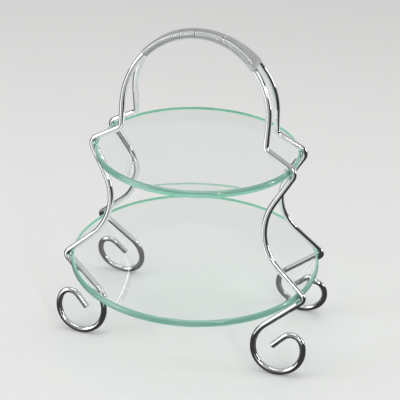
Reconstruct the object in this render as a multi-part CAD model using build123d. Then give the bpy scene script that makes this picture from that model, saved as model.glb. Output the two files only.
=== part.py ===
from build123d import *
import math
import os

# Two-tier cake stand: two bent wire frames leaning together into one handle, bound with fine
# wire along the top, and two round dished glass plates held by their rims in the wire clips.
# The origin is on the table under the middle of the stand, +Z is up and the handle's arch
# lies along X. Every size is in millimetres, every angle in degrees.

# Glass plates
upper_plate_diameter = 150.0
lower_plate_diameter = 190.0
upper_rim_height = 154.1  # table to the top of the upper rim
lower_rim_height = 64.6
glass_thickness = 4.8
rim_slope = 12.5  # how steeply the dished glass climbs at its rim
flat_share = 0.47  # flat middle of a plate, as a share of its diameter
rim_round = 1.9  # pencil rounding of the ground rim's two edges

# Bent wire
wire_diameter = 4.5
wire_end_round = 0.5  # where the wire was cut off and polished
floor_half_spacing = 44.85  # how far from the middle each frame's leaning plane meets the table
spring_half_spacing = 12.85  # the same, up where the handle's arch springs from the legs
clip_gap = 0.4  # left between the wire and the glass it holds

upper_clip_rise = 28.8  # limb over the rim, above level
upper_clip_fall = 60.9  # limb under the rim, below level
upper_clip_bend = 5.5
lower_clip_rise = 41.6
lower_clip_fall = 42.8
lower_clip_bend = 4.0
waist_bend = 39.3
shoulder_bend = 5.0

# Foot scroll: three arcs one after another, each tighter, and a short straight end
scroll_radii = (21.8, 18.7, 8.3)
scroll_turns = (61.8, 190.1, 113.0)
scroll_end = 11.7

# Handle
handle_half_width = 53.8
handle_top = 238.1  # centre of the wires at the top of the arch
handle_wire_gap = 1.1  # between the two wires at the top
binding_half_length = 46.0  # along the arch, each way from the top
binding_thickness = 0.75
binding_fit = 0.1  # radial room between the binding and the wires

wire_radius = wire_diameter / 2
slope_sine = math.sin(math.radians(rim_slope))
slope_cosine = math.cos(math.radians(rim_slope))
rim_overshoot = rim_round * (slope_sine + slope_cosine - 1)  # what the rounding takes off
handle_half_spacing = wire_radius + handle_wire_gap / 2
spring_height = handle_top - handle_half_width
lean = math.atan2(floor_half_spacing - spring_half_spacing, spring_height)  # in radians
lean_sine = math.sin(lean)
lean_cosine = math.cos(lean)


def heading(angle):
    return Vector(math.cos(math.radians(angle)), math.sin(math.radians(angle)), 0)


def dished_plate(diameter, rim_height):
    """A round plate: flat middle, then one long arc up to a ground and rounded rim."""
    sharp_radius = diameter / 2 + rim_overshoot
    sharp_height = rim_height + rim_overshoot
    flat_radius = diameter / 2 * flat_share
    bottom_radius = (sharp_radius - flat_radius) / slope_sine
    top_radius = bottom_radius - glass_thickness
    centre_height = sharp_height + top_radius * slope_cosine
    centre = Vector(flat_radius, centre_height)
    bottom = centre_height - bottom_radius
    top = centre_height - top_radius
    under = CenterArc(centre, bottom_radius, -90, rim_slope)
    over = CenterArc(centre, top_radius, -90 + rim_slope, -rim_slope)
    outline = [
        Line((0, bottom), under @ 0),
        under,
        Line(under @ 1, over @ 0),
        over,
        Line(over @ 1, (0, top)),
        Line((0, top), (0, bottom)),
    ]
    section = make_face(outline)
    section = fillet(section.vertices().sort_by(Axis.X)[-2:], rim_round)
    return revolve(Plane.XZ * section, Axis.Z)


def rim_round_centres(diameter, rim_height):
    """Radius and height of the centres of the rim's upper and lower rounding."""
    radius = diameter / 2 - rim_round
    height = rim_height - rim_round
    span = glass_thickness - 2 * rim_round
    return (radius - span * slope_sine, height), (radius, height - span * slope_cosine)


def plane_depth(along_lean):
    """How far from the middle a frame's plane is, at this distance up the plane."""
    return floor_half_spacing - along_lean * lean_sine


def limb_offset(limb_angle, rim_tangent):
    """Distance in the frame's plane that keeps a limb clip_gap off the rim it crosses."""
    limb_normal = Vector(
        -math.sin(math.radians(limb_angle)),
        -math.cos(math.radians(limb_angle)) * lean_sine,
        math.cos(math.radians(limb_angle)) * lean_cosine,
    )
    plane_normal = Vector(0, lean_cosine, lean_sine)
    across = rim_tangent.dot(plane_normal)
    aside = rim_tangent.dot(limb_normal)
    reach = wire_radius + clip_gap + rim_round
    return reach * math.hypot(across, aside) / abs(across)


def rim_crossing(radius, height):
    """Where a circle round the stand meets the frame's plane, and its direction there."""
    up_plane = height / lean_cosine
    depth = plane_depth(up_plane)
    outward = math.sqrt(radius**2 - depth**2)
    return Vector(outward, up_plane), Vector(-depth / radius, outward / radius, 0)


def clip_corner(diameter, rim_height, rise, fall):
    """Corner of the bend whose limbs pass just over and just under a plate's rim."""
    upper_round, lower_round = rim_round_centres(diameter, rim_height)
    top_point, top_tangent = rim_crossing(*upper_round)
    low_point, low_tangent = rim_crossing(*lower_round)
    over = top_point + heading(90 - rise) * limb_offset(-rise, top_tangent)
    under = low_point + heading(fall - 90) * limb_offset(fall, low_tangent)
    down = heading(-rise)
    up = heading(fall)
    gap = under - over
    run = (gap.X * up.Y - gap.Y * up.X) / (down.X * up.Y - down.Y * up.X)
    return over + down * run


def crossing(first, first_angle, second, second_angle):
    """Where two lines meet, each given by a point and a heading."""
    one = heading(first_angle)
    other = heading(second_angle)
    gap = second - first
    run = (gap.X * other.Y - gap.Y * other.X) / (one.X * other.Y - one.Y * other.X)
    return first + one * run


def rounded_run(corners, bends):
    """Straight runs from corner to corner with a round bend at each inner corner."""
    edges = []
    start = corners[0]
    for before, corner, after, bend in zip(corners, corners[1:], corners[2:], bends):
        arrive = (corner - before).normalized()
        leave = (after - corner).normalized()
        turn = math.degrees(math.atan2(arrive.cross(leave).Z, arrive.dot(leave)))
        setback = bend * math.tan(math.radians(abs(turn)) / 2)
        straight = Line(start, corner - arrive * setback)
        arc = JernArc(straight @ 1, arrive, bend, turn)
        edges += [straight, arc]
        start = arc @ 1
    edges.append(Line(start, corners[-1]))
    return edges


def scroll_edges(start):
    edges = []
    direction = heading(180 + lower_clip_fall)
    for radius, turn in zip(scroll_radii, scroll_turns):
        arc = JernArc(start, direction, radius, turn)
        edges.append(arc)
        start = arc @ 1
        direction = arc % 1
    edges.append(Line(start, start + direction * scroll_end))
    return edges


def handle_half_gap(angle):
    """Half the spacing of the two wires, this many degrees round the arch from its top."""
    share = abs(angle) / 90
    quarter = handle_half_width * math.pi / 2
    blend = 3 * share**2 - 2 * share**3
    splay = quarter * math.tan(lean) * (share**3 - share**2)
    return handle_half_spacing + (spring_half_spacing - handle_half_spacing) * blend + splay


def arch_point(angle, depth):
    return Vector(
        handle_half_width * math.sin(math.radians(angle)),
        depth,
        spring_height + handle_half_width * math.cos(math.radians(angle)),
    )


def swept_wire(edges):
    path = Wire(edges)
    section = Plane(origin=path @ 0, z_dir=path % 0) * Circle(wire_radius)
    return sweep(section, path=path)


upper_clip = clip_corner(
    upper_plate_diameter, upper_rim_height, upper_clip_rise, upper_clip_fall
)
lower_clip = clip_corner(
    lower_plate_diameter, lower_rim_height, lower_clip_rise, lower_clip_fall
)
spring = Vector(handle_half_width, spring_height / lean_cosine)
shoulder = crossing(spring, -90, upper_clip, 180 - upper_clip_rise)
waist = crossing(upper_clip, 180 + upper_clip_fall, lower_clip, 180 - lower_clip_rise)

# The straight above the scroll is as long as it takes to stand the scroll on the table.
scroll_low = Wire(scroll_edges(Vector(0, 0))).bounding_box().min.Y
scroll_rise = wire_radius / lean_cosine - scroll_low
straight_run = (lower_clip.Y - scroll_rise) / math.sin(math.radians(lower_clip_fall))
scroll_start = lower_clip + heading(180 + lower_clip_fall) * straight_run

leg_edges = rounded_run(
    [spring, shoulder, upper_clip, waist, lower_clip, scroll_start],
    [shoulder_bend, upper_clip_bend, waist_bend, lower_clip_bend],
)
leg_edges += scroll_edges(scroll_start)

front_plane = Plane(
    origin=(0, -floor_half_spacing, 0),
    x_dir=(1, 0, 0),
    z_dir=(0, -lean_cosine, lean_sine),
)
leaning_up = Vector(0, lean_sine, lean_cosine)
right_leg = swept_wire([front_plane * edge for edge in leg_edges])
left_leg = mirror(right_leg, Plane.YZ)
handle_points = [arch_point(angle, -handle_half_gap(angle)) for angle in range(-90, 91, 10)]
handle_curve = Spline(
    handle_points, tangents=[leaning_up, leaning_up * -1], tangent_scalars=[1, 1]
)
front_wire = left_leg + swept_wire([handle_curve]) + right_leg
cut_ends = front_wire.faces().filter_by(GeomType.PLANE)
front_wire = fillet(cut_ends.edges(), wire_end_round)
rear_wire = mirror(front_wire, Plane.XZ)


def binding_body(radius):
    """Solid band round both handle wires, this far out from their centres."""
    reach = math.degrees(binding_half_length / handle_half_width)
    sections = []
    for step in range(-4, 5):
        angle = reach * step / 4
        along = Vector(math.cos(math.radians(angle)), 0, -math.sin(math.radians(angle)))
        place = Plane(origin=arch_point(angle, 0), x_dir=(0, 1, 0), z_dir=along)
        sections.append(place * SlotCenterToCenter(2 * handle_half_gap(angle), 2 * radius))
    return loft(sections)


inner_radius = wire_radius + binding_fit
handle_binding = binding_body(inner_radius + binding_thickness) - binding_body(inner_radius)

nodes = {
    "front_wire_frame": front_wire,
    "rear_wire_frame": rear_wire,
    "handle_binding": handle_binding,
    "upper_glass_plate": dished_plate(upper_plate_diameter, upper_rim_height),
    "lower_glass_plate": dished_plate(lower_plate_diameter, lower_rim_height),
}
os.makedirs("parts", exist_ok=True)
for name, solid in nodes.items():
    export_step(solid, f"parts/{name}.step")
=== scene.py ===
import math

import bmesh
import bpy
from mathutils import Matrix, Vector


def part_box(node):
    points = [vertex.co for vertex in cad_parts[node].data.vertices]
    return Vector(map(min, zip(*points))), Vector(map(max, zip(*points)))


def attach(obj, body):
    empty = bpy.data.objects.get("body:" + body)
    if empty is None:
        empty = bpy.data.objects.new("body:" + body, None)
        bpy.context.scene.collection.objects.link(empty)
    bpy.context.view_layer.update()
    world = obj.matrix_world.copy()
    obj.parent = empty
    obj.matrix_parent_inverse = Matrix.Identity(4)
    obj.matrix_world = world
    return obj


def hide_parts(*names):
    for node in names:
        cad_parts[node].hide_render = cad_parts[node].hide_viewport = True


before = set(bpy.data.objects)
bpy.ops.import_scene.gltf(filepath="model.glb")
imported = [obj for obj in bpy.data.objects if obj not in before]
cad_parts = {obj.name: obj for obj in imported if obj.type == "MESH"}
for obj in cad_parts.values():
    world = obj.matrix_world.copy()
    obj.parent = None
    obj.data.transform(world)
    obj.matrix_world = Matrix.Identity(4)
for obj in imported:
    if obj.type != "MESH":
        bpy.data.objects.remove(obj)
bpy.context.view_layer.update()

# Sizes in metres, as in the model this scene dresses
WIRE_RADIUS = 0.00225
HANDLE_HALF_WIDTH = 0.0538
HANDLE_TOP = 0.2381
HANDLE_HALF_SPACING = 0.0028
FLOOR_HALF_SPACING = 0.04485
SPRING_HALF_SPACING = 0.01285
SPRING_HEIGHT = HANDLE_TOP - HANDLE_HALF_WIDTH
BINDING_HALF_LENGTH = 0.046

GLASS_THICKNESS = 0.0048
RIM_SLOPE = math.radians(12.5)
RIM_ROUND = 0.0019
FLAT_SHARE = 0.47

BINDING_WIRE_WIDTH = 0.00132
BINDING_WIRE_THICKNESS = 0.00064
BINDING_SEAT = 0.00005  # room left between the handle wires and the winding
BINDING_TURNS = 61
POINTS_PER_TURN = 40
OPENED_TURNS = (20.5, 28.0, 40.5)  # where the winding has parted a little
END_FADE = 40.0  # how quickly the unevenness sets in away from the two cut ends
WRAP_SHARPNESS = 4.0  # how tightly a turn bends round the two outer sides
ARCH_STEPS = 96
PLATE_STEPS = 180  # round each plate
EDGE_WIDTH = 1.4 * RIM_ROUND  # how far in from the rim the ground finish may reach
EDGE_LEAST_FACING = 0.06  # how squarely a face must look out to count as the edge

# The studio as the bright wires mirror it: pale walls with a few darker and lighter sides.
# Each side has a compass direction and two half widths in degrees, full effect inside the
# first and none outside the second, and what it adds to the shade of the walls.
WALL_SHADE = 0.64
LEAST_SHADE = 0.02
STUDIO_SIDES = (
    (-18, 34, 52, -0.60),  # dark side on the right
    (-98, 7, 14, -0.42),  # narrow gap in front
    (176, 16, 30, -0.52),  # doorway on the left
    (-136, 8, 16, 0.75),  # bright blind at the front left
)


# ---------------------------------------------------------------- node helpers


class Graph:
    """Thin helper that adds nodes to a tree and wires sockets together."""

    def __init__(self, tree):
        self.tree = tree

    def add(self, kind, inputs=None, **settings):
        node = self.tree.nodes.new(kind)
        for key, value in settings.items():
            setattr(node, key, value)
        for key, value in (inputs or {}).items():
            socket = node.inputs[key]
            if isinstance(value, bpy.types.NodeSocket):
                self.tree.links.new(value, socket)
            else:
                socket.default_value = value
        return node

    def math(self, operation, first, second=0.0, third=0.0):
        node = self.add(
            "ShaderNodeMath", {0: first, 1: second, 2: third}, operation=operation
        )
        return node.outputs[0]

    def vector_math(self, operation, first, second=(0, 0, 0)):
        node = self.add("ShaderNodeVectorMath", {0: first, 1: second}, operation=operation)
        return node.outputs[0]

    def scaled(self, vector, factor):
        node = self.add(
            "ShaderNodeVectorMath", {0: vector, "Scale": factor}, operation="SCALE"
        )
        return node.outputs[0]

    def dot(self, first, second):
        node = self.add("ShaderNodeVectorMath", {0: first, 1: second}, operation="DOT_PRODUCT")
        return node.outputs["Value"]

    def length(self, vector):
        node = self.add("ShaderNodeVectorMath", {0: vector}, operation="LENGTH")
        return node.outputs["Value"]

    def level(self, vector):
        """The vector with its height taken away."""
        return self.vector_math("MULTIPLY", vector, (1, 1, 0))

    def parts(self, vector):
        return self.add("ShaderNodeSeparateXYZ", {0: vector}).outputs

    def vector(self, x, y, z):
        return self.add("ShaderNodeCombineXYZ", {"X": x, "Y": y, "Z": z}).outputs[0]

    def position(self):
        return self.add("GeometryNodeInputPosition").outputs[0]


def grow(name, tree, settings):
    """Runs a node tree on an empty mesh and returns the result as a plain mesh object."""
    host = bpy.data.objects.new(name + "_host", bpy.data.meshes.new(name + "_host"))
    bpy.context.scene.collection.objects.link(host)
    modifier = host.modifiers.new("grow", "NODES")
    modifier.node_group = tree
    for item in tree.interface.items_tree:
        if item.item_type == "SOCKET" and item.in_out == "INPUT" and item.name in settings:
            modifier[item.identifier] = settings[item.name]
    bpy.context.view_layer.update()
    depsgraph = bpy.context.evaluated_depsgraph_get()
    mesh = bpy.data.meshes.new_from_object(host.evaluated_get(depsgraph), depsgraph=depsgraph)
    mesh.name = name
    bpy.data.objects.remove(host)
    grown = bpy.data.objects.new(name, mesh)
    bpy.context.scene.collection.objects.link(grown)
    return grown


def start_tree(name, sockets):
    """A geometry tree with the named inputs, ready to be filled in."""
    tree = bpy.data.node_groups.new(name, "GeometryNodeTree")
    for socket, kind in sockets:
        tree.interface.new_socket(socket, in_out="INPUT", socket_type=kind)
    tree.interface.new_socket("Geometry", in_out="OUTPUT", socket_type="NodeSocketGeometry")
    graph = Graph(tree)
    return tree, graph, graph.add("NodeGroupInput").outputs


def end_tree(tree, graph, geometry):
    out = graph.add("NodeGroupOutput")
    tree.links.new(geometry, out.inputs[0])
    return tree


# ---------------------------------------------------------------- finishes


def new_material(name):
    material = bpy.data.materials.new(name)
    material.use_nodes = True
    graph = Graph(material.node_tree)
    shader = material.node_tree.nodes["Principled BSDF"]
    place = graph.add("ShaderNodeTexCoord").outputs["Object"]
    return material, graph, shader, place


def ramp(graph, value, low, high, low_value, high_value):
    node = graph.add(
        "ShaderNodeMapRange",
        {
            "Value": value,
            "From Min": low,
            "From Max": high,
            "To Min": low_value,
            "To Max": high_value,
        },
        interpolation_type="SMOOTHSTEP",
    )
    return node.outputs[0]


def noise(graph, place, scale, detail=3.0, roughness=0.5, stretch=None):
    if stretch:
        place = graph.vector_math("MULTIPLY", place, stretch)
    node = graph.add(
        "ShaderNodeTexNoise",
        {"Vector": place, "Scale": scale, "Detail": detail, "Roughness": roughness},
    )
    return node.outputs["Fac"]


def blend_colours(graph, factor, first, second):
    node = graph.add("ShaderNodeMix", data_type="RGBA")
    for socket, value in ((0, factor), (6, first), (7, second)):
        if isinstance(value, bpy.types.NodeSocket):
            graph.tree.links.new(value, node.inputs[socket])
        else:
            node.inputs[socket].default_value = value
    return node.outputs[2]


def dress(graph, shader, tone, rough, relief):
    """Gives a shader its colour and roughness, and a relief of height, strength and depth."""
    height, strength, depth = relief
    bump = graph.add(
        "ShaderNodeBump", {"Height": height, "Strength": strength, "Distance": depth}
    )
    graph.tree.links.new(tone, shader.inputs["Base Color"])
    graph.tree.links.new(rough, shader.inputs["Roughness"])
    graph.tree.links.new(bump.outputs[0], shader.inputs["Normal"])


def show_either(graph, choice, first, second):
    """Shows the first shader where choice is nought and the second where it is one."""
    either = graph.add(
        "ShaderNodeMixShader", {0: choice, 1: first.outputs[0], 2: second.outputs[0]}
    )
    output = graph.tree.nodes["Material Output"]
    graph.tree.links.new(either.outputs[0], output.inputs["Surface"])


def light_through(graph, shader, tint):
    """Lets lamp light pass straight through a finish, so clear glass casts a faint shadow."""
    clear = graph.add("ShaderNodeBsdfTransparent", {"Color": tint})
    shadow = graph.add("ShaderNodeLightPath").outputs["Is Shadow Ray"]
    show_either(graph, shadow, shader, clear)


def mirrored_ray(graph):
    """One for a ray that a bright surface mirrors, nought for a straight or bent one."""
    path = graph.add("ShaderNodeLightPath").outputs
    straight = graph.math("SUBTRACT", 1.0, path["Is Transmission Ray"])
    return graph.math("MULTIPLY", path["Is Glossy Ray"], straight)


def studio_sides(graph, direction):
    """How bright the studio round the stand is in this direction, whatever its height."""
    level = graph.vector_math("NORMALIZE", graph.level(direction))
    shade = WALL_SHADE
    for compass, near, far, change in STUDIO_SIDES:
        angle = math.radians(compass)
        facing = graph.dot(level, (math.cos(angle), math.sin(angle), 0.0))
        outer, inner = (math.cos(math.radians(width)) for width in (far, near))
        share = ramp(graph, facing, outer, inner, 0.0, 1.0)
        shade = graph.math("MULTIPLY_ADD", share, change, shade)
    return graph.math("MAXIMUM", shade, LEAST_SHADE)


def chrome_plating():
    """Bright plating over drawn wire: cloudy polish, hairline rubs, duller where it stands."""
    material, graph, shader, place = new_material("bright_chrome_plating")
    cloud = noise(graph, place, 90.0, 4.0)
    rubs = noise(graph, place, 700.0, 2.0, stretch=(1.0, 1.0, 0.12))
    height = graph.parts(place)["Z"]
    scuffed = ramp(graph, height, 0.0002, 0.0022, 1.0, 0.0)
    polish = ramp(graph, cloud, 0.35, 0.75, 0.02, 0.055)
    hairline = ramp(graph, rubs, 0.56, 0.74, 0.0, 0.05)
    worn = graph.math("MULTIPLY", scuffed, 0.22)
    rough = graph.math("ADD", graph.math("ADD", polish, hairline), worn)
    tone = blend_colours(graph, cloud, (0.90, 0.91, 0.92, 1), (0.82, 0.83, 0.85, 1))
    tone = blend_colours(graph, scuffed, tone, (0.62, 0.61, 0.60, 1))
    dress(graph, shader, tone, rough, relief=(rubs, 0.05, 0.0001))
    shader.inputs["Metallic"].default_value = 1.0
    return material


def satin_fine_wire():
    """Soft grey steel of the fine binding wire, with painted shade darkening it down between the
    turns.
    """
    material, graph, shader, place = new_material("satin_fine_wire")
    cloud = noise(graph, place, 160.0, 4.0)
    grain = noise(graph, place, 2600.0, 2.0)
    tone = blend_colours(graph, cloud, (0.86, 0.87, 0.88, 1), (0.72, 0.73, 0.74, 1))
    nearness = graph.add("ShaderNodeAttribute", attribute_name="nearness_to_next_turn")
    # painted shade: the wire's sides that face the next turn go towards near black, standing in
    # for the shade in the narrow gaps between turns; the same mask also roughens them
    painted_groove_shade = ramp(graph, nearness.outputs["Fac"], 0.70, 0.98, 0.0, 1.0)
    tone = blend_colours(graph, painted_groove_shade, tone, (0.05, 0.05, 0.052, 1))
    rough = ramp(graph, grain, 0.3, 0.7, 0.20, 0.34)
    rough = graph.math("MULTIPLY_ADD", painted_groove_shade, 0.25, rough)
    dress(graph, shader, tone, rough, relief=(grain, 0.15, 0.00005))
    shader.inputs["Metallic"].default_value = 1.0
    return material


def polished_glass():
    """Clear soda-lime glass with the faint smears and slow waviness of slumped sheet."""
    material, graph, shader, place = new_material("polished_glass")
    smear = noise(graph, place, 28.0, 5.0, 0.6)
    slump = noise(graph, place, 30.0, 1.0)
    rough = ramp(graph, smear, 0.60, 0.85, 0.0, 0.02)
    tone = blend_colours(graph, smear, (0.998, 1.0, 0.999, 1), (0.985, 0.995, 0.99, 1))
    dress(graph, shader, tone, rough, relief=(slump, 0.08, 0.0004))
    shader.inputs["Transmission Weight"].default_value = 1.0
    shader.inputs["IOR"].default_value = 1.52
    depth = graph.add("ShaderNodeVolumeAbsorption")
    depth.inputs["Color"].default_value = (0.12, 0.86, 0.62, 1)
    depth.inputs["Density"].default_value = 3.0
    output = graph.tree.nodes["Material Output"]
    graph.tree.links.new(depth.outputs[0], output.inputs["Volume"])
    light_through(graph, shader, (0.95, 0.97, 0.963, 1))
    return material


def ground_glass_edge():
    """Ground and half polished rim: the glass's own green gathers here, with fine lines
    along the edge from the grinding belt and a few tiny nicks."""
    material, graph, shader, place = new_material("ground_glass_edge")
    depth = noise(graph, place, 45.0, 3.0)
    lines = noise(graph, place, 60.0, 4.0, 0.6, stretch=(1.0, 1.0, 45.0))
    nicks = noise(graph, place, 900.0, 1.0)
    tone = blend_colours(graph, depth, (0.34, 0.80, 0.62, 1), (0.42, 0.86, 0.70, 1))
    frost = ramp(graph, lines, 0.45, 0.75, 0.0, 0.35)
    tone = blend_colours(graph, frost, tone, (0.55, 0.90, 0.78, 1))
    rough = ramp(graph, lines, 0.3, 0.7, 0.10, 0.22)
    grain = graph.math("MULTIPLY", ramp(graph, nicks, 0.70, 0.78, 0.0, -1.0), 1.5)
    height = graph.math("ADD", lines, grain)
    dress(graph, shader, tone, rough, relief=(height, 0.12, 0.00008))
    shader.inputs["IOR"].default_value = 1.52
    shader.inputs["Transmission Weight"].default_value = 0.55
    shader.inputs["Coat Weight"].default_value = 1.0
    shader.inputs["Coat Roughness"].default_value = 0.06
    light_through(graph, shader, (0.45, 0.80, 0.66, 1))
    return material


def floor_paint():
    """Pale matt paint. For rays that the wires and glass mirror, it glows instead with a painted
    reflection: dark near the feet, and like the studio's sides further off, so that bright
    wire keeps its streaks over a pale floor."""
    material, graph, shader, place = new_material("pale_floor")
    cloud = noise(graph, place, 3.0, 2.0)
    tone = blend_colours(graph, cloud, (0.74, 0.742, 0.735, 1), (0.76, 0.762, 0.755, 1))
    graph.tree.links.new(tone, shader.inputs["Base Color"])
    shader.inputs["Roughness"].default_value = 0.7
    beyond = ramp(graph, graph.length(graph.level(place)), 0.15, 0.34, 0.0, 1.0)
    # painted reflection: a near black shade near the feet and the studio's sides further off,
    # shown as a glow only to mirrored rays
    near_shade = (0.045, 0.044, 0.042, 1)
    mirrored = blend_colours(graph, beyond, near_shade, studio_sides(graph, place))
    glow = graph.add("ShaderNodeEmission", {"Color": mirrored})
    show_either(graph, mirrored_ray(graph), shader, glow)
    return material


# ---------------------------------------------------------------- handle binding


def handle_half_gap(angle):
    """Half the spacing of the two handle wires, this far round the arch from its top."""
    share = abs(angle) / (math.pi / 2)
    quarter = HANDLE_HALF_WIDTH * math.pi / 2
    lean = (FLOOR_HALF_SPACING - SPRING_HALF_SPACING) / SPRING_HEIGHT
    blend = 3 * share**2 - 2 * share**3
    splay = quarter * lean * (share**3 - share**2)
    return HANDLE_HALF_SPACING + (SPRING_HALF_SPACING - HANDLE_HALF_SPACING) * blend + splay


def handle_arch():
    """Centreline of the rear handle wire over the bound length, as a smooth curve."""
    reach = (BINDING_HALF_LENGTH - BINDING_WIRE_WIDTH / 2) / HANDLE_HALF_WIDTH
    curve = bpy.data.curves.new("handle_arch", "CURVE")
    curve.dimensions = "3D"
    spline = curve.splines.new("POLY")
    spline.points.add(ARCH_STEPS)
    for index in range(ARCH_STEPS + 1):
        angle = reach * (2 * index / ARCH_STEPS - 1)
        spline.points[index].co = (
            HANDLE_HALF_WIDTH * math.sin(angle),
            handle_half_gap(angle),
            SPRING_HEIGHT + HANDLE_HALF_WIDTH * math.cos(angle),
            1.0,
        )
    arch = bpy.data.objects.new("handle_arch", curve)
    bpy.context.scene.collection.objects.link(arch)
    return arch


def winding_tree():
    """Winds one flattened wire tightly round two wires lying side by side."""
    sockets = (
        ("Handle Wire", "NodeSocketObject"),
        ("Turns", "NodeSocketInt"),
        ("Points Per Turn", "NodeSocketInt"),
        ("Wire Radius", "NodeSocketFloat"),
        ("Binding Width", "NodeSocketFloat"),
        ("Binding Thickness", "NodeSocketFloat"),
        ("Uneven Winding", "NodeSocketFloat"),
        ("Parting", "NodeSocketFloat"),
        ("Finish", "NodeSocketMaterial"),
    )
    tree, graph, given = start_tree("tight_winding", sockets)
    wire = graph.add(
        "GeometryNodeObjectInfo", {"Object": given["Handle Wire"]}, transform_space="ORIGINAL"
    )
    steps = graph.math("MULTIPLY", given["Turns"], given["Points Per Turn"])
    line = graph.add("GeometryNodeCurvePrimitiveLine", {"End": (1, 0, 0)})
    points = graph.add(
        "GeometryNodeResampleCurve",
        {"Curve": line.outputs[0], "Count": graph.math("ADD", steps, 1.0)},
    )
    share = graph.math("DIVIDE", graph.add("GeometryNodeInputIndex").outputs[0], steps)
    turn = graph.math("MULTIPLY", share, given["Turns"])

    # each turn sits a little off its even place, fading out at the two cut ends
    drift = graph.add(
        "ShaderNodeTexNoise",
        {"W": turn, "Scale": 0.13, "Detail": 1.0},
        noise_dimensions="1D",
    )
    offset = graph.math("SUBTRACT", drift.outputs["Fac"], 0.5)
    offset = graph.math("MULTIPLY", offset, given["Uneven Winding"])
    inside = graph.math("MULTIPLY", share, graph.math("SUBTRACT", 1.0, share))
    inside = graph.math("MINIMUM", graph.math("MULTIPLY", inside, END_FADE), 1.0)
    offset = graph.math("MULTIPLY", offset, inside)

    # a few turns stand apart from their neighbours, and all the rest close up to make room
    for opened in OPENED_TURNS:
        parted = ramp(graph, turn, opened, opened + 1.0, 0.0, 1.0)
        parted = graph.math("SUBTRACT", parted, share)
        offset = graph.math("MULTIPLY_ADD", parted, given["Parting"], offset)
    along = graph.math("ADD", share, graph.math("DIVIDE", offset, given["Turns"]))

    sample = graph.add(
        "GeometryNodeSampleCurve",
        {"Curves": wire.outputs["Geometry"], "Factor": along},
        mode="FACTOR",
        use_all_curves=True,
    )
    centre = graph.parts(sample.outputs["Position"])
    outward = graph.vector_math("CROSS_PRODUCT", sample.outputs["Tangent"], (0, 1, 0))
    outward = graph.vector_math("NORMALIZE", outward)

    phase = graph.math("MULTIPLY", turn, 2 * math.pi)
    phase = graph.math("SUBTRACT", phase, math.pi / 2)
    cosine = graph.math("COSINE", phase)
    sine = graph.math("SINE", phase)
    half_thick = graph.math("MULTIPLY", given["Binding Thickness"], 0.5)
    half_wide = graph.math("MULTIPLY", given["Binding Width"], 0.5)
    reach = graph.math("ADD", given["Wire Radius"], half_thick)

    # a turn runs straight across above and below, and bends only round the outer sides
    side = graph.math("MULTIPLY", cosine, WRAP_SHARPNESS)
    side = graph.math("MAXIMUM", graph.math("MINIMUM", side, 1.0), -1.0)
    across = graph.math("MULTIPLY", side, centre["Y"])
    across = graph.math("ADD", across, graph.math("MULTIPLY", cosine, reach))
    above = graph.math("MULTIPLY", sine, reach)
    middle = graph.vector(centre["X"], across, centre["Z"])
    place = graph.vector_math("ADD", middle, graph.scaled(outward, above))
    wound = graph.add(
        "GeometryNodeSetPosition", {"Geometry": points.outputs[0], "Position": place}
    )

    # the flattened wire lies with its broad side on the handle wires
    off_wire = graph.vector_math(
        "ADD", graph.scaled((0, 1, 0), cosine), graph.scaled(outward, sine)
    )
    laid_flat = graph.add(
        "GeometryNodeSetCurveNormal", {"Curve": wound.outputs[0], "Normal": off_wire}, mode="FREE"
    )
    circle = graph.add(
        "GeometryNodeCurvePrimitiveCircle", {"Resolution": 12, "Radius": 1.0}, mode="RADIUS"
    )
    sided = graph.add(
        "GeometryNodeStoreNamedAttribute",
        {
            "Geometry": circle.outputs[0],
            "Name": "nearness_to_next_turn",
            "Value": graph.math("ABSOLUTE", graph.parts(graph.position())["Y"]),
        },
        data_type="FLOAT",
        domain="POINT",
    )
    section = graph.add(
        "GeometryNodeTransform",
        {"Geometry": sided.outputs[0], "Scale": graph.vector(half_thick, half_wide, 1.0)},
    )
    solid = graph.add(
        "GeometryNodeCurveToMesh",
        {
            "Curve": laid_flat.outputs[0],
            "Profile Curve": section.outputs[0],
            "Fill Caps": True,
        },
    )
    smooth = graph.add("GeometryNodeSetShadeSmooth", {"Geometry": solid.outputs[0]})
    real = graph.add("GeometryNodeRealizeInstances", {"Geometry": smooth.outputs[0]})
    painted = graph.add(
        "GeometryNodeSetMaterial",
        {"Geometry": real.outputs[0], "Material": given["Finish"]},
    )
    return end_tree(tree, graph, painted.outputs[0])


def wind_the_handle(finish):
    arch = handle_arch()
    coil = grow(
        "handle_binding_coil",
        winding_tree(),
        {
            "Handle Wire": arch,
            "Turns": BINDING_TURNS,
            "Points Per Turn": POINTS_PER_TURN,
            "Wire Radius": WIRE_RADIUS + BINDING_SEAT,
            "Binding Width": BINDING_WIRE_WIDTH,
            "Binding Thickness": BINDING_WIRE_THICKNESS,
            "Uneven Winding": 0.3,
            "Parting": 0.35,
            "Finish": finish,
        },
    )
    bpy.data.objects.remove(arch)
    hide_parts("handle_binding")
    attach(coil, "frame")
    return coil


# ---------------------------------------------------------------- glass plates


def arc_points(centre, radius, start, end, steps):
    """Points round an arc, from one angle to another."""
    points = []
    for index in range(steps + 1):
        angle = start + (end - start) * index / steps
        points.append(
            (centre[0] + radius * math.cos(angle), centre[1] + radius * math.sin(angle))
        )
    return points


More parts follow.
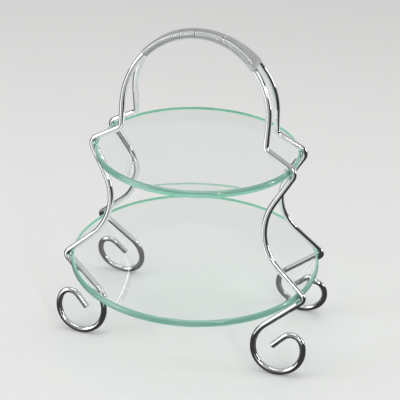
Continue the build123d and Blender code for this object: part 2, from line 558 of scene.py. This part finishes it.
def plate_section(rim_radius, rim_height):
    """Half section of a dished plate, from the middle of its underside round to its top."""
    slope_sine, slope_cosine = math.sin(RIM_SLOPE), math.cos(RIM_SLOPE)
    overshoot = RIM_ROUND * (slope_sine + slope_cosine - 1)
    flat = rim_radius * FLAT_SHARE
    under_radius = (rim_radius + overshoot - flat) / slope_sine
    over_radius = under_radius - GLASS_THICKNESS
    centre = (flat, rim_height + overshoot + over_radius * slope_cosine)
    low_round = (
        rim_radius - RIM_ROUND,
        rim_height - RIM_ROUND - (GLASS_THICKNESS - 2 * RIM_ROUND) * slope_cosine,
    )
    high_round = (
        low_round[0] - (GLASS_THICKNESS - 2 * RIM_ROUND) * slope_sine,
        rim_height - RIM_ROUND,
    )
    down = -math.pi / 2
    reach = RIM_SLOPE - RIM_ROUND / under_radius
    floor_line = [(flat * index / 8, centre[1] - under_radius) for index in range(8)]
    top_line = [(flat * index / 8, centre[1] - over_radius) for index in range(7, -1, -1)]
    section = floor_line
    section += arc_points(centre, under_radius, down, down + reach, 36)
    section += arc_points(low_round, RIM_ROUND, down + RIM_SLOPE, RIM_SLOPE, 8)[1:]
    section += arc_points(high_round, RIM_ROUND, RIM_SLOPE, -down + RIM_SLOPE, 8)
    section += arc_points(centre, over_radius, down + reach, down, 36)[1:]
    return section + top_line


def section_line(points):
    """The half section as a line of mesh edges standing in the XZ plane."""
    mesh = bpy.data.meshes.new("plate_section")
    edges = [(index, index + 1) for index in range(len(points) - 1)]
    mesh.from_pydata([(radius, 0.0, height) for radius, height in points], edges, [])
    line = bpy.data.objects.new("plate_section", mesh)
    bpy.context.scene.collection.objects.link(line)
    return line


def turned_plate_tree():
    """Turns a half section once round the upright axis and finishes its edge apart."""
    sockets = (
        ("Half Section", "NodeSocketObject"),
        ("Steps Round", "NodeSocketInt"),
        ("Edge Starts", "NodeSocketFloat"),
        ("Rim Slope", "NodeSocketFloat"),
        ("Face Finish", "NodeSocketMaterial"),
        ("Edge Finish", "NodeSocketMaterial"),
    )
    tree, graph, given = start_tree("turned_plate", sockets)
    section = graph.add(
        "GeometryNodeObjectInfo", {"Object": given["Half Section"]}, transform_space="ORIGINAL"
    ).outputs["Geometry"]
    length = graph.add(
        "GeometryNodeAttributeDomainSize", {"Geometry": section}, component="MESH"
    ).outputs["Point Count"]
    columns = graph.math("ADD", given["Steps Round"], 1.0)
    sheet = graph.add(
        "GeometryNodeMeshGrid",
        {"Size X": 1.0, "Size Y": 1.0, "Vertices X": columns, "Vertices Y": length},
    ).outputs["Mesh"]
    flat = graph.parts(graph.position())
    last = graph.math("SUBTRACT", length, 1.0)
    step = graph.math("ROUND", graph.math("MULTIPLY", graph.math("ADD", flat["Y"], 0.5), last))
    along = graph.add(
        "GeometryNodeSampleIndex",
        {"Geometry": section, "Index": step},
        data_type="FLOAT_VECTOR",
        domain="POINT",
    )
    tree.links.new(graph.position(), along.inputs["Value"])
    spot = graph.parts(along.outputs[0])
    angle = graph.math("MULTIPLY", graph.math("ADD", flat["X"], 0.5), 2 * math.pi)
    place = graph.vector(
        graph.math("MULTIPLY", spot["X"], graph.math("COSINE", angle)),
        graph.math("MULTIPLY", spot["X"], graph.math("SINE", angle)),
        spot["Z"],
    )
    turned = graph.add("GeometryNodeSetPosition", {"Geometry": sheet, "Position": place})
    closed = graph.add(
        "GeometryNodeMergeByDistance", {"Geometry": turned.outputs[0], "Distance": 0.000002}
    )
    smooth = graph.add("GeometryNodeSetShadeSmooth", {"Geometry": closed.outputs[0]})
    real = graph.add("GeometryNodeRealizeInstances", {"Geometry": smooth.outputs[0]})
    faces = graph.add(
        "GeometryNodeSetMaterial",
        {"Geometry": real.outputs[0], "Material": given["Face Finish"]},
    )

    # the edge is what lies past the faces and looks along the rim's slope
    level = graph.level(graph.position())
    outward = graph.scaled(
        graph.vector_math("NORMALIZE", level), graph.math("COSINE", given["Rim Slope"])
    )
    upward = graph.scaled((0, 0, 1), graph.math("SINE", given["Rim Slope"]))
    normal = graph.add("GeometryNodeInputNormal").outputs[0]
    facing = graph.dot(graph.vector_math("ADD", outward, upward), normal)
    past = graph.math("GREATER_THAN", graph.length(level), given["Edge Starts"])
    looks_out = graph.math("GREATER_THAN", facing, EDGE_LEAST_FACING)
    painted = graph.add(
        "GeometryNodeSetMaterial",
        {
            "Geometry": faces.outputs[0],
            "Selection": graph.math("MULTIPLY", past, looks_out),
            "Material": given["Edge Finish"],
        },
    )
    return end_tree(tree, graph, painted.outputs[0])


def turn_plate(name, node, body, tree, face_finish, edge_finish):
    _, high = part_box(node)
    rim_radius, rim_height = high[0], high[2]
    line = section_line(plate_section(rim_radius, rim_height))
    plate = grow(
        name,
        tree,
        {
            "Half Section": line,
            "Steps Round": PLATE_STEPS,
            "Edge Starts": rim_radius - EDGE_WIDTH,
            "Rim Slope": RIM_SLOPE,
            "Face Finish": face_finish,
            "Edge Finish": edge_finish,
        },
    )
    bpy.data.objects.remove(line)
    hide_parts(node)
    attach(plate, body)
    return plate


# ---------------------------------------------------------------- room


def camera():
    azimuth = math.radians(16.8)
    elevation = math.radians(27.85)
    roll = math.radians(1.86)
    distance = 0.717
    aim = Vector((0.0024, 0.0007, 0.1091))
    back = Vector(
        (
            math.sin(azimuth) * math.cos(elevation),
            -math.cos(azimuth) * math.cos(elevation),
            math.sin(elevation),
        )
    )
    data = bpy.data.cameras.new("camera")
    data.lens = 86.1
    data.sensor_width = 36.0
    data.clip_start = 0.01
    data.clip_end = 50.0
    holder = bpy.data.objects.new("camera", data)
    turn = (-back).to_track_quat("-Z", "Y").to_matrix().to_4x4()
    holder.matrix_world = (
        Matrix.Translation(aim + back * distance) @ turn @ Matrix.Rotation(roll, 4, "Z")
    )
    bpy.context.scene.collection.objects.link(holder)
    bpy.context.scene.camera = holder


def soft_light(name, place, target, width, height, power, tint=(1.0, 1.0, 1.0)):
    data = bpy.data.lights.new(name, "AREA")
    data.shape = "RECTANGLE"
    data.size = width
    data.size_y = height
    data.energy = power
    data.color = tint
    lamp = bpy.data.objects.new(name, data)
    lamp.location = place
    lamp.rotation_euler = (Vector(target) - Vector(place)).to_track_quat("-Z", "Y").to_euler()
    bpy.context.scene.collection.objects.link(lamp)


def room():
    mesh = bpy.data.meshes.new("floor")
    maker = bmesh.new()
    bmesh.ops.create_grid(maker, x_segments=2, y_segments=2, size=4.0)
    maker.to_mesh(mesh)
    maker.free()
    floor = bpy.data.objects.new("floor", mesh)
    bpy.context.scene.collection.objects.link(floor)
    floor.data.materials.append(floor_paint())

    world = bpy.data.worlds.new("studio")
    bpy.context.scene.world = world
    world.use_nodes = True
    graph = Graph(world.node_tree)
    direction = graph.add("ShaderNodeTexCoord").outputs["Generated"]
    height = graph.parts(direction)["Z"]
    above_walls = ramp(graph, height, 0.50, 0.60, 0.0, 1.0)
    overhead = ramp(graph, height, 0.70, 0.80, 0.0, 1.0)
    seen = studio_sides(graph, direction)
    seen = blend_colours(graph, above_walls, seen, (0.20, 0.20, 0.20, 1))
    seen = blend_colours(graph, overhead, seen, (0.55, 0.55, 0.55, 1))
    walls = (0.66, 0.66, 0.655, 1)
    shade = blend_colours(graph, mirrored_ray(graph), walls, seen)
    background = world.node_tree.nodes["Background"]
    world.node_tree.links.new(shade, background.inputs["Color"])

    middle = (0, 0, 0.12)
    soft_light("window_left", (-1.25, -0.75, 0.85), middle, 0.8, 0.8, 7.5)
    soft_light("window_right", (1.35, 0.25, 0.42), middle, 0.12, 0.55, 3.0)
    soft_light("front_strip", (0.85, -1.0, 0.75), middle, 0.10, 0.5, 3.0)
    soft_light("overhead", (0.0, 0.1, 1.5), middle, 0.9, 0.6, 4.5)
    bpy.context.scene.view_settings.view_transform = "Standard"


# ---------------------------------------------------------------- dressing the stand

camera()
room()
chrome = chrome_plating()
polished = polished_glass()
ground = ground_glass_edge()
for node in ("front_wire_frame", "rear_wire_frame"):
    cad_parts[node].data.materials[0] = chrome
plate_tree = turned_plate_tree()
for tier in ("upper", "lower"):
    turn_plate(
        tier + "_plate", tier + "_glass_plate", tier + "_plate", plate_tree, polished, ground
    )
wind_the_handle(satin_fine_wire())
